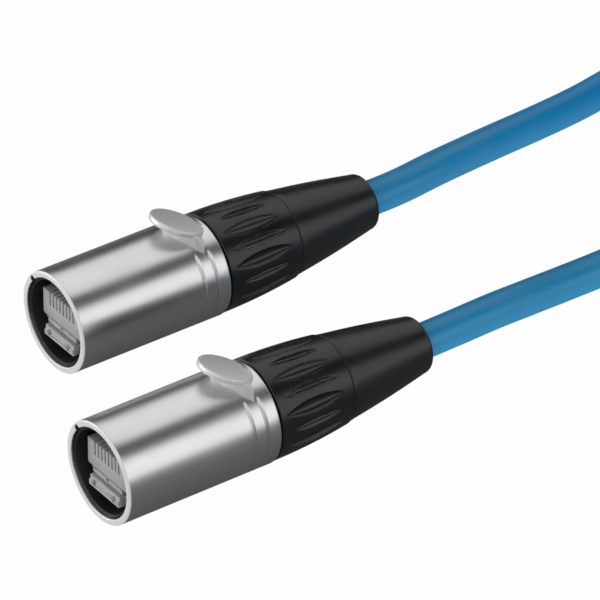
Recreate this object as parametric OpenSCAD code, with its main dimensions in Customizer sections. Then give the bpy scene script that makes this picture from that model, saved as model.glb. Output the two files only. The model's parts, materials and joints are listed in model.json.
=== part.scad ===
// Data cable with two round-shell connector carriers, its spare length tied in a hank.
// Each connector lies along X with its open mouth towards -X and its thumb tab up.

/* [Connector shell] */
// Outside diameter of the metal shell
shell_d = 19; // [18:0.5:24]
// Length of the metal shell
shell_len = 31.5; // [30.5:0.5:42]
// Wall of the shell at its open rim
shell_wall = 1.15; // [0.9:0.05:1.5]
// Rounding chamfer on the outside of the open rim
rim_edge = 0.3; // [0.1:0.1:0.6]
// Chamfer on the shell's rear edge
rear_edge = 0.5; // [0.2:0.1:0.8]
// Width of the keyway notch in the rim
key_w = 0.9; // [0.6:0.1:1.6]
// Depth of the keyway notch into the wall
key_depth = 0.75; // [0.4:0.05:0.8]
// Length of the keyway from the rim
key_len = 6; // [3:0.5:12]
// Angle of the keyway from straight up, towards +Y
key_angle = 47; // [20:1:70]
// Width of each finger groove
groove_w = 0.5; // [0.3:0.1:1]
// Depth of each finger groove
groove_depth = 0.2; // [0.1:0.05:0.4]
// Distance of the rear groove from the shell's rear edge
groove_rear = 2.8; // [2:0.1:4]
// Distance between the two grooves
groove_pitch = 2.7; // [1.5:0.1:4]

/* [Thumb tab] */
// Diameter of the raised oval pad
tab_d = 10; // [8:0.5:12]
// Thickness of the pad
tab_t = 1.1; // [0.8:0.1:2]
// Slope of the pad, front edge up
tab_slope = 24; // [20:1:40]
// Height of the pad's centre above the shell's axis
tab_z = 11.2; // [10.2:0.1:12]
// Distance of the pad's centre from the shell's rear edge
tab_rear = 5.1; // [5:0.1:9]
// Half width of the pad's foot where it meets the shell
foot_half_w = 6.4; // [5:0.1:7]
// Length of the foot along the shell
foot_len = 3.8; // [3:0.1:5]

/* [Insert] */
// Depth of the open mouth round the plug
mouth_depth = 13; // [10:0.5:16]
// Wall of the liner inside the shell
liner_wall = 0.6; // [0.4:0.1:1]
// How far the liner stays behind the rim
liner_setback = 0.6; // [0.3:0.1:1.5]
// Width of the channel for the latch lever in the carrier
latch_channel_w = 5; // [4:0.5:8]
// Depth of that channel behind the mouth
latch_channel_len = 4; // [3.5:0.5:7]

/* [Plug] */
// Width of the eight-way plug
plug_w = 11.68; // [11.4:0.02:12]
// Height of the plug above its keel
plug_h = 5.3; // [5:0.1:6]
// Height of the plug's narrow keel
keel_h = 1.2; // [1.2:0.1:1.6]
// Width of the keel
keel_w = 8.8; // [6:0.1:9]
// Length of the plug
plug_len = 21.4; // [20:0.1:22]
// Distance of the plug's front behind the rim
plug_setback = 1.8; // [0.8:0.1:3]
// Height of the plug's top face above the shell's axis
plug_top_z = 3.7; // [3.2:0.1:4.2]
// Wall of the plug round its wire cavity
plug_wall = 0.9; // [0.7:0.1:1.2]
// Distance of the conductors' ends behind the plug's front
wire_inset = 2.2; // [1.8:0.1:3]
// Room above and below the conductors in the plug
cavity_room = 1.6; // [1.2:0.1:1.8]
// Length of the load bar that holds the conductors in line
load_bar_len = 4; // [3:0.1:5]
// Distance of the load bar behind the contacts
load_bar_gap = 1.9; // [1:0.1:3]
// Distance between two contacts
contact_pitch = 1.016; // [1:0.001:1.03]
// Thickness of a contact blade
contact_t = 0.32; // [0.2:0.02:0.4]
// Length of a contact blade
contact_len = 5.6; // [4:0.1:7]
// Height of a contact blade
contact_h = 2.3; // [1.6:0.1:2.3]
// Distance of the contacts behind the plug's front
contact_inset = 0.7; // [0.4:0.1:1]
// Depth of the contacts' edges below the plug's top face
contact_sink = 0.3; // [0.1:0.1:0.5]
// Width of the latch's thick root
latch_root_w = 8.8; // [4.5:0.1:9]
// Thickness of that root
latch_root_t = 2.1; // [1:0.1:2.2]
// Length of the latch's wide root
latch_root_len = 2.6; // [2:0.1:4]
// Distance of the latch ahead of the plug's front
latch_ahead = 0.8; // [0:0.1:1.2]
// Width of the latch lever
latch_w = 3.2; // [2.6:0.1:4]
// Length of the latch
latch_len = 14.4; // [12:0.1:15]
// Thickness of the latch lever
latch_t = 0.9; // [0.7:0.1:1.2]
// Drop of the latch from its hinge to its tip
latch_drop = 2.2; // [1.6:0.1:2.6]

/* [Chuck] */
// Thickness of the chuck's collar
collar_len = 2.6; // [2:0.1:4]
// Outside diameter of the chuck's barrel
chuck_d = 13; // [11:0.1:13.4]
// Diameter at the tips of the chuck's fingers
chuck_tip_d = 9.2; // [8.4:0.1:10]
// Length of the straight part of the chuck
chuck_barrel_len = 5; // [4:0.1:7]
// Length of the chuck's tapered fingers
finger_len = 11.5; // [9:0.1:13]
// Width of the slots between the fingers
slot_w = 1; // [0.6:0.1:1.6]
// Number of finger slots across the chuck
slot_pairs = 2; // [1:1:3]

/* [Bushing and boot] */
// Length of the fluted bushing outside the shell
bushing_len = 16; // [14:0.5:20]
// Diameter of the bushing next to the shell
bushing_d = 18.7; // [18:0.1:19]
// Diameter of the bushing at its seam with the boot
seam_d = 16.6; // [15:0.1:17]
// Length of the bushing's threaded spigot
spigot_len = 4.8; // [4:0.1:6]
// Number of grip flutes
flute_count = 18; // [12:2:20]
// Length of a flute
flute_len = 12; // [8:0.5:14]
// Half width of a flute
flute_half_w = 1.2; // [0.8:0.1:1.5]
// Depth of a flute
flute_depth = 0.5; // [0.2:0.1:0.8]
// Length of the boot behind the seam
boot_len = 19.2; // [16:0.1:26]
// Diameter of the boot at the seam
boot_d = 16.2; // [14.5:0.1:16.5]
// Diameter of the boot at its end
boot_end_d = 10.2; // [9.5:0.1:12]
// Rounding at the boot's end
boot_edge = 1; // [0.5:0.1:1.5]
// Length of the boot's plug inside the bushing
boot_plug_len = 3.4; // [2.5:0.1:4]
// Diameter of that plug
boot_plug_d = 12; // [10:0.1:13]

/* [Cable] */
// Outside diameter of the cable
cable_d = 6.5; // [6:0.1:6.5]
// Diameter of one insulated conductor
core_d = 0.82; // [0.7:0.02:0.82]
// Radius of the ring in which the conductors leave the jacket
core_ring_r = 2.1; // [2:0.05:2.4]
// Clearance of a conductor in the load bar's holes
core_fit = 0.02; // [0.01:0.01:0.04]
// Length of the cable's jacket inside the connector
jacket_len = 40.5; // [39:0.1:41.5]

/* [Layout] */
// Distance between the axes of the two connectors
spacing = 42; // [30:1:60]
// How far connector B lies ahead of connector A
stagger = 19; // [0:1:30]
// Distance of connector A's boot end past the origin, along X
tail_x = 43; // [30:1:60]

/* [Hank] */
// Radius of the innermost fold, to the middle of the cable
fold_r = 19.5; // [19.5:0.5:26]
// Length of the hank's straight runs
run_len = 55; // [40:1:90]
// Number of cable layers in the hank
layers = 6; // [2:1:8]
// Number of turns side by side in each layer
tracks = 2; // [1:1:3]
// Distance between neighbouring turns
turn_pitch = 6.6; // [6.6:0.1:8]
// Width of the tie
tie_w = 20; // [12:1:30]
// Thickness of the tie
tie_t = 1.5; // [1:0.1:2]

/* [Clearances] */
// Radial running clearance of the pieces that turn or slide in the shell
run_fit = 0.07; // [0.03:0.01:0.1]
// Clearance of the pieces that sit still in one another
seat_fit = 0.05; // [0.03:0.01:0.1]
// Gap between faces of pieces that move apart
face_gap = 0.3; // [0.2:0.05:0.5]
// Gap between the chuck's collar and the bushing's spigot
collar_gap = 0.5; // [0.3:0.1:0.8]
// Radial clearance of the cable in the chuck and the boot
cable_fit = 0.1; // [0.05:0.05:0.2]

/* [Hidden] */
$fn = 64;

shell_r = shell_d / 2;
bore_r = shell_r - shell_wall;
insert_r = bore_r - seat_fit;
mouth_r = insert_r - liner_wall;
plug_front = plug_setback;
plug_base_z = plug_top_z - plug_h;
keel_base_z = plug_base_z - keel_h;
contact_count = 8;
contact_slot_w = contact_t + 2 * seat_fit;
load_bar_front = plug_front + contact_inset + contact_len + load_bar_gap;
wires_front = plug_front + wire_inset;
cavity_w = contact_pitch * contact_count + core_d;
cavity_h = core_d + cavity_room;
cavity_z = plug_base_z + plug_wall + cavity_h / 2;
wire_straight = 2;
bend_x = load_bar_front + load_bar_len + wire_straight;
rear_room_r = core_ring_r + core_d / 2 + 2 * seat_fit;
hole_r = cable_d / 2 + cable_fit;
spigot_r = bore_r - run_fit;
bushing_front = shell_len + face_gap;
spigot_front = bushing_front - spigot_len;
collar_end = spigot_front - collar_gap;
chuck_front = collar_end - collar_len;
chuck_barrel_end = collar_end + chuck_barrel_len;
finger_end = chuck_barrel_end + finger_len;
carrier_end = chuck_front - face_gap;
seam_x = bushing_front + bushing_len;
chuck_bore_r = chuck_d / 2 + face_gap;
cone_start = chuck_barrel_end + face_gap;
cone_end = finger_end + face_gap;
cone_end_r = chuck_tip_d / 2 + face_gap;
boot_end = seam_x + boot_len;
boot_plug_front = seam_x - boot_plug_len;
jacket_start = boot_end - jacket_len;
front_a_x = tail_x - boot_end;
front_b_x = front_a_x - stagger;
axis_z = shell_r;
grooves_x = [shell_len - groove_rear, shell_len - groove_rear - groove_pitch];
groove_reach = [-0.45, 0.7] * shell_r;
tab_x = shell_len - tab_rear;
foot_back = tab_x + 1.4;
foot_tip_half_w = 1;
foot_shoulder = [foot_len * 0.45, foot_half_w * 0.82];
latch_overlap = 0.4;
slot_run_in = 2;
overcut = 1;

// The hank lies on its tie, past the connectors, and its runs are parallel to X.
hank_left = 106;
hank_y = 13;
fold_x_left = hank_left + fold_r + (tracks - 1) * turn_pitch + cable_d / 2;
fold_x_right = fold_x_left + run_len;
hank_out_r = fold_r + (tracks - 1) * turn_pitch + cable_d / 2;
hank_in_r = fold_r - cable_d / 2;
hank_base_z = tie_t;
hank_h = (layers - 1) * turn_pitch + cable_d;

// Middle line of the cable from each connector to the hank, chosen by hand.
route_a = [[3, 21, 9.5], [16, 21, 9.5], [30, 21, 9.5], [43, 21, 9.5], [50, 21.1, 9.5],
           [60, 23.2, 8.6], [70, 26.8, 6.2], [80, 29.9, 4.1], [90, 31.4, 3.3], [100, 32.2, 3.4],
           [111, 32.5, 4.7]];
route_b = [[-16, -21, 9.5], [-3, -21, 9.5], [11, -21, 9.5], [24, -21, 9.5], [31, -20.9, 9.5],
           [41, -19.6, 8.6], [51, -16.9, 6.2], [61, -14.6, 4.1], [71, -13.7, 3.3],
           [84, -13.4, 3.3], [100, -13.2, 3.6], [117, -13.1, 4.7]];
cable_sides = 12;
core_sides = 8;

METAL = [0.74, 0.75, 0.77];
BLACK = [0.13, 0.13, 0.14];
LINER = [0.08, 0.08, 0.09];
CLEAR = [0.72, 0.76, 0.8];
GOLD = [0.83, 0.66, 0.25];
BLUE = [0.16, 0.5, 0.78];

// Turns a shape drawn along Z so that it lies along X.
module along_x() {
    rotate([0, 90, 0]) children();
}

// Solid of revolution about X whose profile points are [distance along X, radius].
module turned(profile) {
    along_x() rotate_extrude() polygon([for (p = profile) [p[1], p[0]]]);
}

// The raised thumb pad and the solid foot that carries it.
module thumb_tab() {
    pad_r = tab_d / 2;
    tip_x = foot_back - foot_len;
    translate([tab_x, 0, tab_z]) rotate([0, tab_slope, 0])
        translate([0, 0, -tab_t]) cylinder(r = pad_r, h = tab_t);
    difference() {
        linear_extrude(height = tab_z + pad_r)
            polygon([[tip_x, -foot_tip_half_w], [tip_x, foot_tip_half_w],
                     [tip_x + foot_shoulder.x, foot_shoulder.y], [foot_back, foot_half_w],
                     [foot_back, -foot_half_w], [tip_x + foot_shoulder.x, -foot_shoulder.y]]);
        translate([tab_x, 0, tab_z]) rotate([0, tab_slope, 0])
            translate([-tab_d, -tab_d, -tab_t / 2]) cube([2 * tab_d, 2 * tab_d, 2 * tab_d]);
    }
}

module shell() {
    color(METAL) difference() {
        union() {
            turned([[0, 0], [0, shell_r - rim_edge], [rim_edge, shell_r],
                    [shell_len - rear_edge, shell_r], [shell_len, shell_r - rear_edge],
                    [shell_len, 0]]);
            thumb_tab();
        }
        translate([-overcut, 0, 0]) along_x() cylinder(r = bore_r, h = shell_len + 2 * overcut);
        rotate([-key_angle, 0, 0]) translate([-overcut, -key_w / 2, bore_r - overcut])
            cube([key_len + overcut, key_w, key_depth + overcut]);
        for (x = grooves_x) intersection() {
            turned([[x - groove_w / 2, shell_r - groove_depth], [x - groove_w / 2, shell_r + overcut],
                    [x + groove_w / 2, shell_r + overcut], [x + groove_w / 2, shell_r - groove_depth]]);
            translate([x - groove_w, -shell_d, groove_reach[0]])
                cube([2 * groove_w, 2 * shell_d, groove_reach[1] - groove_reach[0]]);
        }
    }
}

module insert() {
    pocket_w = plug_w + 2 * seat_fit;
    pocket_h = plug_h + 2 * seat_fit;
    color(LINER) difference() {
        turned([[liner_setback, 0], [liner_setback, insert_r], [carrier_end, insert_r],
                [carrier_end, 0]]);
        translate([liner_setback - overcut, 0, 0]) along_x()
            cylinder(r = mouth_r, h = mouth_depth - liner_setback + overcut);
        translate([0, -pocket_w / 2, plug_base_z - seat_fit])
            cube([carrier_end + overcut, pocket_w, pocket_h]);
        translate([0, -keel_w / 2 - seat_fit, keel_base_z - seat_fit])
            cube([carrier_end + overcut, keel_w + 2 * seat_fit, keel_h + 2 * seat_fit]);
        translate([0, -latch_channel_w / 2, -mouth_r])
            cube([mouth_depth + latch_channel_len, latch_channel_w, mouth_r + keel_base_z]);
    }
}

module plug_body() {
    color(CLEAR) difference() {
        union() {
            translate([plug_front, -plug_w / 2, plug_base_z]) cube([plug_len, plug_w, plug_h]);
            translate([plug_front, -keel_w / 2, keel_base_z])
                cube([plug_len, keel_w, keel_h + plug_wall / 2]);
        }
        for (i = [0 : contact_count - 1])
            translate([plug_front - overcut, contact_y(i) - contact_slot_w / 2,
                       plug_top_z - contact_sink - contact_h - seat_fit])
                cube([overcut + contact_inset + contact_len + 2 * seat_fit, contact_slot_w,
                      contact_h + overcut]);
        translate([wires_front - seat_fit, -cavity_w / 2, cavity_z - cavity_h / 2])
            cube([plug_len, cavity_w, cavity_h]);
        translate([bend_x - core_d, 0, 0]) along_x() cylinder(r = rear_room_r, h = plug_len);
    }
}

function contact_y(i) = (i - (contact_count - 1) / 2) * contact_pitch;

module plug_contacts() {
    color(GOLD) for (i = [0 : contact_count - 1])
        translate([plug_front + contact_inset, contact_y(i) - contact_t / 2,
                   plug_top_z - contact_sink - contact_h])
            cube([contact_len, contact_t, contact_h]);
}

module load_bar() {
    bar_w = cavity_w - 2 * seat_fit;
    bar_h = cavity_h - 2 * seat_fit;
    color([0.9, 0.9, 0.88]) difference() {
        translate([load_bar_front, -bar_w / 2, cavity_z - bar_h / 2])
            cube([load_bar_len, bar_w, bar_h]);
        for (i = [0 : contact_count - 1])
            translate([load_bar_front - overcut, contact_y(i), cavity_z]) along_x()
                cylinder(r = core_d / 2 + core_fit, h = load_bar_len + 2 * overcut, $fn = 24);
    }
}

module plug_latch() {
    top_z = keel_base_z - face_gap;
    tip_z = top_z - latch_t - latch_drop;
    color(CLEAR) translate([plug_front - latch_ahead, 0, 0]) {
        translate([0, -latch_root_w / 2, top_z - latch_root_t])
            cube([latch_root_len, latch_root_w, latch_root_t]);
        translate([0, latch_w / 2, 0]) rotate([90, 0, 0]) linear_extrude(height = latch_w)
            polygon([[latch_root_len - latch_overlap, top_z],
                     [latch_root_len - latch_overlap, top_z - latch_t], [latch_len, tip_z],
                     [latch_len, tip_z + latch_t], [latch_root_len, top_z]]);
    }
}

// Eight insulated conductors, each from its place in the load bar to the ring at the jacket.
module conductors() {
    pair_step = 360 / contact_count;
    color("orange") for (i = [0 : contact_count - 1]) {
        turn = 180 - pair_step / 2 - floor(i / 2) * pair_step;
        side = i % 2 == 0 ? 1 : -1;
        tube([[wires_front, contact_y(i), cavity_z], [bend_x, contact_y(i), cavity_z],
              [jacket_start, core_ring_r * cos(turn), side * core_ring_r * sin(turn)]],
             core_d / 2 - core_fit, core_sides);
    }
}

module cable_chuck() {
    color(BLACK) difference() {
        turned([[chuck_front, hole_r], [chuck_front, spigot_r], [collar_end, spigot_r],
                [collar_end, chuck_d / 2], [chuck_barrel_end, chuck_d / 2],
                [finger_end, chuck_tip_d / 2], [finger_end, hole_r]]);
        for (i = [0 : slot_pairs - 1]) rotate([i * 180 / slot_pairs, 0, 0])
            translate([chuck_barrel_end - slot_run_in, -slot_w / 2, -chuck_d])
                cube([finger_len + slot_run_in + overcut, slot_w, 2 * chuck_d]);
    }
}

// Radius of the bushing's gently swelling outside at a distance behind its front face.
function barrel_r(x) = bushing_d / 2 - (bushing_d - seam_d) / 2 * pow(x / bushing_len, 2);

// Spindle-shaped cutter for one grip flute, along X, its middle at the origin.
module flute() {
    steps = 5;
    tip_r = 0.05;
    turned(concat([[-flute_len / 2, 0]],
                  [for (i = [-steps : steps])
                      [i / steps * flute_len / 2,
                       tip_r + (flute_half_w - tip_r) * (1 - pow(i / steps, 2))]],
                  [[flute_len / 2, 0]]));
}

module bushing() {
    arc_steps = 3;
    flute_mid = bushing_len * 0.5;
    color(BLACK) difference() {
        turned(concat([[spigot_front, chuck_bore_r], [spigot_front, spigot_r],
                       [bushing_front, spigot_r]],
                      [for (i = [0 : arc_steps]) [bushing_front + i / arc_steps * bushing_len,
                                                  barrel_r(i / arc_steps * bushing_len)]],
                      [[seam_x, boot_plug_d / 2 + seat_fit],
                       [boot_plug_front - seat_fit, boot_plug_d / 2 + seat_fit],
                       [boot_plug_front - seat_fit, cone_end_r], [cone_end, cone_end_r],
                       [cone_start, chuck_bore_r]]));
        for (i = [0 : flute_count - 1]) rotate([i * 360 / flute_count, 0, 0])
            translate([bushing_front + flute_mid, 0,
                       barrel_r(flute_mid) - flute_depth + flute_half_w]) flute();
    }
}

module cable_boot() {
    edge_steps = 5;
    color(BLACK) turned(concat(
        [[boot_plug_front, hole_r], [boot_plug_front, boot_plug_d / 2],
         [seam_x, boot_plug_d / 2], [seam_x, boot_d / 2]],
        [for (i = [0 : edge_steps]) let (a = i / edge_steps * 90)
            [boot_end - boot_edge + boot_edge * sin(a),
             boot_end_d / 2 - boot_edge + boot_edge * cos(a)]],
        [[boot_end, hole_r]]));
}

function unit(v) = v / norm(v);
function route_dir(route, i) =
    unit(route[min(i + 1, len(route) - 1)] - route[max(i - 1, 0)]);

// Round tube through the points of a route, with one ring of corners at each point.
module tube(route, r, sides) {
    last = len(route) - 1;
    corners = [for (i = [0 : last]) let (
                   t = i == 0 || i == last ? [1, 0, 0] : route_dir(route, i),
                   side = unit(cross(t, [0, 0, 1])),
                   up = cross(side, t))
               for (k = [0 : sides - 1]) let (a = k * 360 / sides)
                   route[i] + r * cos(a) * side + r * sin(a) * up];
    walls = [for (i = [0 : last - 1], k = [0 : sides - 1]) let (
                 a = i * sides + k,
                 b = i * sides + (k + 1) % sides)
             each [[a, b, b + sides], [a, b + sides, a + sides]]];
    caps = [[for (k = [sides - 1 : -1 : 0]) k],
            [for (k = [0 : sides - 1]) last * sides + k]];
    polyhedron(points = corners, faces = concat(walls, caps));
}

module cable_run_a() {
    color(BLUE) tube(route_a, cable_d / 2, cable_sides);
}

module cable_run_b() {
    color(BLUE) tube(route_b, cable_d / 2, cable_sides);
}

// Flat outline with two straight sides and two half-round ends.
module racetrack(r) {
    for (x = [fold_x_left, fold_x_right]) translate([x, hank_y]) circle(r = r);
    translate([fold_x_left, hank_y - r]) square([run_len, 2 * r]);
}

module cable_hank() {
    color(BLUE) translate([0, 0, hank_base_z]) linear_extrude(height = hank_h) difference() {
        racetrack(hank_out_r);
        racetrack(hank_in_r);
    }
}

// Rectangle with quarter-round corners, from its lower left corner.
module round_rect(w, h, r) {
    for (x = [r, w - r], y = [r, h - r]) translate([x, y]) circle(r = r, $fn = 32);
    translate([r, 0]) square([w - 2 * r, h]);
    translate([0, r]) square([w, h - 2 * r]);
}

module hank_tie() {
    corner_r = 2;
    inner_w = 2 * hank_out_r;
    tie_x = (fold_x_left + fold_x_right) / 2;
    color([0.1, 0.1, 0.1]) translate([tie_x + tie_w / 2, hank_y - hank_out_r - tie_t, 0])
        rotate([90, 0, -90]) mirror([1, 0, 0]) linear_extrude(height = tie_w) difference() {
            round_rect(inner_w + 2 * tie_t, hank_h + 2 * tie_t, corner_r);
            translate([tie_t, tie_t]) square([inner_w, hank_h]);
        }
}

module at_a() {
    translate([front_a_x, spacing / 2, axis_z]) children();
}

module at_b() {
    translate([front_b_x, -spacing / 2, axis_z]) children();
}

at_a() shell();  // shell_a
at_a() insert();  // insert_a
at_a() plug_body();  // plug_body_a
at_a() plug_contacts();  // plug_contacts_a
at_a() load_bar();  // load_bar_a
at_a() plug_latch();  // plug_latch_a
at_a() conductors();  // conductors_a
at_a() cable_chuck();  // cable_chuck_a
at_a() bushing();  // bushing_a
at_a() cable_boot();  // cable_boot_a
at_b() shell();  // shell_b
at_b() insert();  // insert_b
at_b() plug_body();  // plug_body_b
at_b() plug_contacts();  // plug_contacts_b
at_b() load_bar();  // load_bar_b
at_b() plug_latch();  // plug_latch_b
at_b() conductors();  // conductors_b
at_b() cable_chuck();  // cable_chuck_b
at_b() bushing();  // bushing_b
at_b() cable_boot();  // cable_boot_b
cable_run_a();
cable_run_b();
cable_hank();
hank_tie();
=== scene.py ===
"""A blue data cable with a round-shell connector on each end, its spare length tied in a hank.

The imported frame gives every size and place. This file gives the looks: the plated shells with
their thumb tabs, the clear plugs, the fluted bushings, the boots, the cable at its real length
and the strap that holds the hank.
"""

import json
import logging
import math
from dataclasses import dataclass, field
from enum import Enum
from typing import Callable, Sequence

import bmesh
import bpy
from mathutils import Matrix, Vector

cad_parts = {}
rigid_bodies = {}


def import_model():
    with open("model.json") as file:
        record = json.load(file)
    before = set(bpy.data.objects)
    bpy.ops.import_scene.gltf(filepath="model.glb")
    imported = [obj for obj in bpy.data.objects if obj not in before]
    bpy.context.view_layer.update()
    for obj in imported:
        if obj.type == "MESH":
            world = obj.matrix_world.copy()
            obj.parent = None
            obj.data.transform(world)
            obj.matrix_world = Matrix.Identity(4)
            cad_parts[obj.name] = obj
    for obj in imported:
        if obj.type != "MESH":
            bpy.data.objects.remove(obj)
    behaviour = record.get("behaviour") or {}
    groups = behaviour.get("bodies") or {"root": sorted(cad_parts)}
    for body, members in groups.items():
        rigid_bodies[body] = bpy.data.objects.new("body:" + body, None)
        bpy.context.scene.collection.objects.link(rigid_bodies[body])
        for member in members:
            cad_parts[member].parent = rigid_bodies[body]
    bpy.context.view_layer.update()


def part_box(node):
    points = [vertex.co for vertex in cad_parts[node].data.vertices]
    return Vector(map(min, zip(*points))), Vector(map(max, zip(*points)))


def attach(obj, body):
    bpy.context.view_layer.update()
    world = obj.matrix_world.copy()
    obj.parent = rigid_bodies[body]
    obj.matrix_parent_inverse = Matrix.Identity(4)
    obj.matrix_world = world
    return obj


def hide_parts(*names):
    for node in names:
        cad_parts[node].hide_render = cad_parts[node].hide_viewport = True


LOG = logging.getLogger("cable")
MM = 0.001
Point = tuple[float, float, float]
Colour = tuple[float, float, float, float]


class Side(Enum):
    """The two ends of the cable, by the letter that ends their pieces' names."""

    A = "a"
    B = "b"


def mm(*values: float) -> Vector:
    """Returns a point given in millimetres as a vector in metres."""
    return Vector([value * MM for value in values])


def rgb(red: float, green: float, blue: float) -> Colour:
    """Returns an opaque linear colour."""
    return (red, green, blue, 1.0)


def smooth(share: float) -> float:
    """Returns a share from 0 to 1 eased at both ends.

    Args:
        share: The plain share, cut off at 0 and 1.
    """
    share = min(1.0, max(0.0, share))
    return share * share * (3.0 - 2.0 * share)


# --------------------------------------------------------------------------- the studio


@dataclass
class Studio:
    """The camera, the lamps, the world and the pale floor."""

    azimuth: float = -35.52
    elevation: float = 34.06
    distance: float = 1.200
    lens: float = 414.0
    aim_right: float = 0.01128
    aim_up: float = 0.00532
    aim_height: float = 0.010
    floor_size: float = 6.0
    # The floor paper's own dark grey is painted shade: reflections of the floor beside the connectors see
    # it, while the camera sees the white glow.
    floor_paper_shade: float = 0.20
    floor_seen: float = 0.985
    floor_glossy: float = 0.055
    floor_bounce: float = 1.0
    world_light: float = 0.38
    glossy_world: float = 0.46
    glance: float = 0.556

    def place_camera(self) -> bpy.types.Object:
        """Makes the camera at the picture's viewing angle and makes it the scene's own.

        Returns:
            The camera.
        """
        turn, tilt = math.radians(self.azimuth), math.radians(self.elevation)
        right = Vector((math.cos(turn), math.sin(turn), 0.0))
        ahead = Vector((-math.sin(turn) * math.cos(tilt), math.cos(turn) * math.cos(tilt),
                        -math.sin(tilt)))
        up = right.cross(ahead)
        target = Vector((0.0, 0.0, self.aim_height)) + right * self.aim_right + up * self.aim_up
        data = bpy.data.cameras.new("camera")
        data.lens = self.lens
        data.sensor_width = 36.0
        data.clip_start, data.clip_end = 0.01, 20.0
        camera = bpy.data.objects.new("camera", data)
        camera.location = target - ahead * self.distance
        camera.rotation_mode = "QUATERNION"
        camera.rotation_quaternion = ahead.to_track_quat("-Z", "Y")
        bpy.context.collection.objects.link(camera)
        bpy.context.scene.camera = camera
        return camera

    def softbox(self, name: str, place: Point, target: Point, size: tuple[float, float],
                power: float) -> bpy.types.Object:
        """Makes one rectangular soft lamp that faces a point.

        Args:
            name: The lamp's name.
            place: Where its middle is, in metres.
            target: The point that it faces, in metres.
            size: Its width and height in metres.
            power: Its power in watts.

        Returns:
            The lamp.
        """
        data = bpy.data.lights.new(name, "AREA")
        data.shape = "RECTANGLE"
        data.size, data.size_y = size
        data.energy = power
        lamp = bpy.data.objects.new(name, data)
        lamp.location = place
        lamp.rotation_mode = "QUATERNION"
        lamp.rotation_quaternion = (Vector(target) - Vector(place)).to_track_quat("-Z", "Y")
        bpy.context.collection.objects.link(lamp)
        return lamp

    def flag(self, name: str, angle: float, distance: float, size: tuple[float, float],
             lift: float = 0.0) -> bpy.types.Object:
        """Makes one black card, whose reflection draws a dark band along the connectors.

        Args:
            name: The card's name.
            angle: Its direction round the connectors' axis, in degrees from up towards -Y.
            distance: Its distance in metres.
            size: Its length along the connectors and its width, in metres.
            lift: How far it is raised, in metres.

        Returns:
            The card.
        """
        turn = math.radians(angle)
        lean = math.hypot(self.glance, 1.0)
        toward = Vector((self.glance, -math.sin(turn), math.cos(turn))) / lean
        side = toward.cross(Vector((1.0, 0.0, 0.0))).normalized()
        along = side.cross(toward)
        middle = toward * distance + Vector((0.02, 0.0, 0.01 + lift))
        corners = [middle + along * (a * size[0] / 2) + side * (b * size[1] / 2)
                   for a, b in ((-1, -1), (1, -1), (1, 1), (-1, 1))]
        mesh = bpy.data.meshes.new(name)
        mesh.from_pydata(corners, [], [(0, 1, 2, 3)])
        card = put(mesh, name)
        felt = Material(name)
        felt.set(Base_Color=rgb(0.010, 0.010, 0.010), Roughness=0.95, Specular_IOR_Level=0.0)
        mesh.materials.append(felt.data)
        card.visible_camera = False
        return card

    def light(self) -> None:
        """Makes the lamps and the black cards between them."""
        middle = (0.02, 0.0, 0.01)
        self.softbox("lamp_over", (0.40, 0.12, 0.66), middle, (1.10, 0.62), 0.72)
        self.softbox("lamp_front", (0.42, -0.78, 0.34), middle, (1.20, 0.60), 1.30)
        self.softbox("lamp_left", (-0.80, -0.20, 0.50), middle, (0.50, 0.50), 0.7)
        self.softbox("lamp_rim", (-0.60, 0.66, 0.14), middle, (0.50, 0.24), 2.6)
        self.flag("flag_middle", 28.0, 0.50, (0.90, 0.25))
        self.flag("flag_back", -88.0, 0.45, (0.32, 0.24), 0.11)

    @staticmethod
    def seen_share(tree: bpy.types.NodeTree, camera: float, glossy: float, clear: float,
                   bounce: float) -> bpy.types.NodeSocket:
        """Adds nodes that say how much of a surface's white a ray sees.

        Args:
            tree: The node tree.
            camera: The share that the camera sees.
            glossy: The share that a reflection sees.
            clear: The share that is seen through clear plastic.
            bounce: The share that lights the object.

        Returns:
            The share's socket.
        """
        path = tree.nodes.new("ShaderNodeLightPath")
        best = None
        for title, share in (("Is Camera Ray", camera), ("Is Glossy Ray", glossy),
                             ("Is Transmission Ray", clear), ("Is Diffuse Ray", bounce)):
            part = tree.nodes.new("ShaderNodeMath")
            part.operation = "MULTIPLY"
            part.inputs[1].default_value = share
            tree.links.new(path.outputs[title], part.inputs[0])
            if best is None:
                best = part.outputs[0]
                continue
            most = tree.nodes.new("ShaderNodeMath")
            most.operation = "MAXIMUM"
            tree.links.new(best, most.inputs[0])
            tree.links.new(part.outputs[0], most.inputs[1])
            best = most.outputs[0]
        return best

    def fill_world(self) -> None:
        """Makes the world: white where it is seen, and a plain grey light on the object."""
        world = bpy.data.worlds.new("studio")
        bpy.context.scene.world = world
        world.use_nodes = True
        tree = world.node_tree
        tree.nodes.clear()
        out = tree.nodes.new("ShaderNodeOutputWorld")
        light = tree.nodes.new("ShaderNodeBackground")
        light.inputs["Color"].default_value = rgb(1.0, 1.0, 1.0)
        light.inputs["Strength"].default_value = self.world_light
        seen = tree.nodes.new("ShaderNodeBackground")
        seen.inputs["Color"].default_value = rgb(1.0, 1.0, 1.0)
        seen.inputs["Strength"].default_value = 1.0
        mix = tree.nodes.new("ShaderNodeMixShader")
        tree.links.new(self.seen_share(tree, 1.0, self.glossy_world, 1.0, 0.0), mix.inputs["Fac"])
        tree.links.new(light.outputs[0], mix.inputs[1])
        tree.links.new(seen.outputs[0], mix.inputs[2])
        tree.links.new(mix.outputs[0], out.inputs["Surface"])

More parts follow.
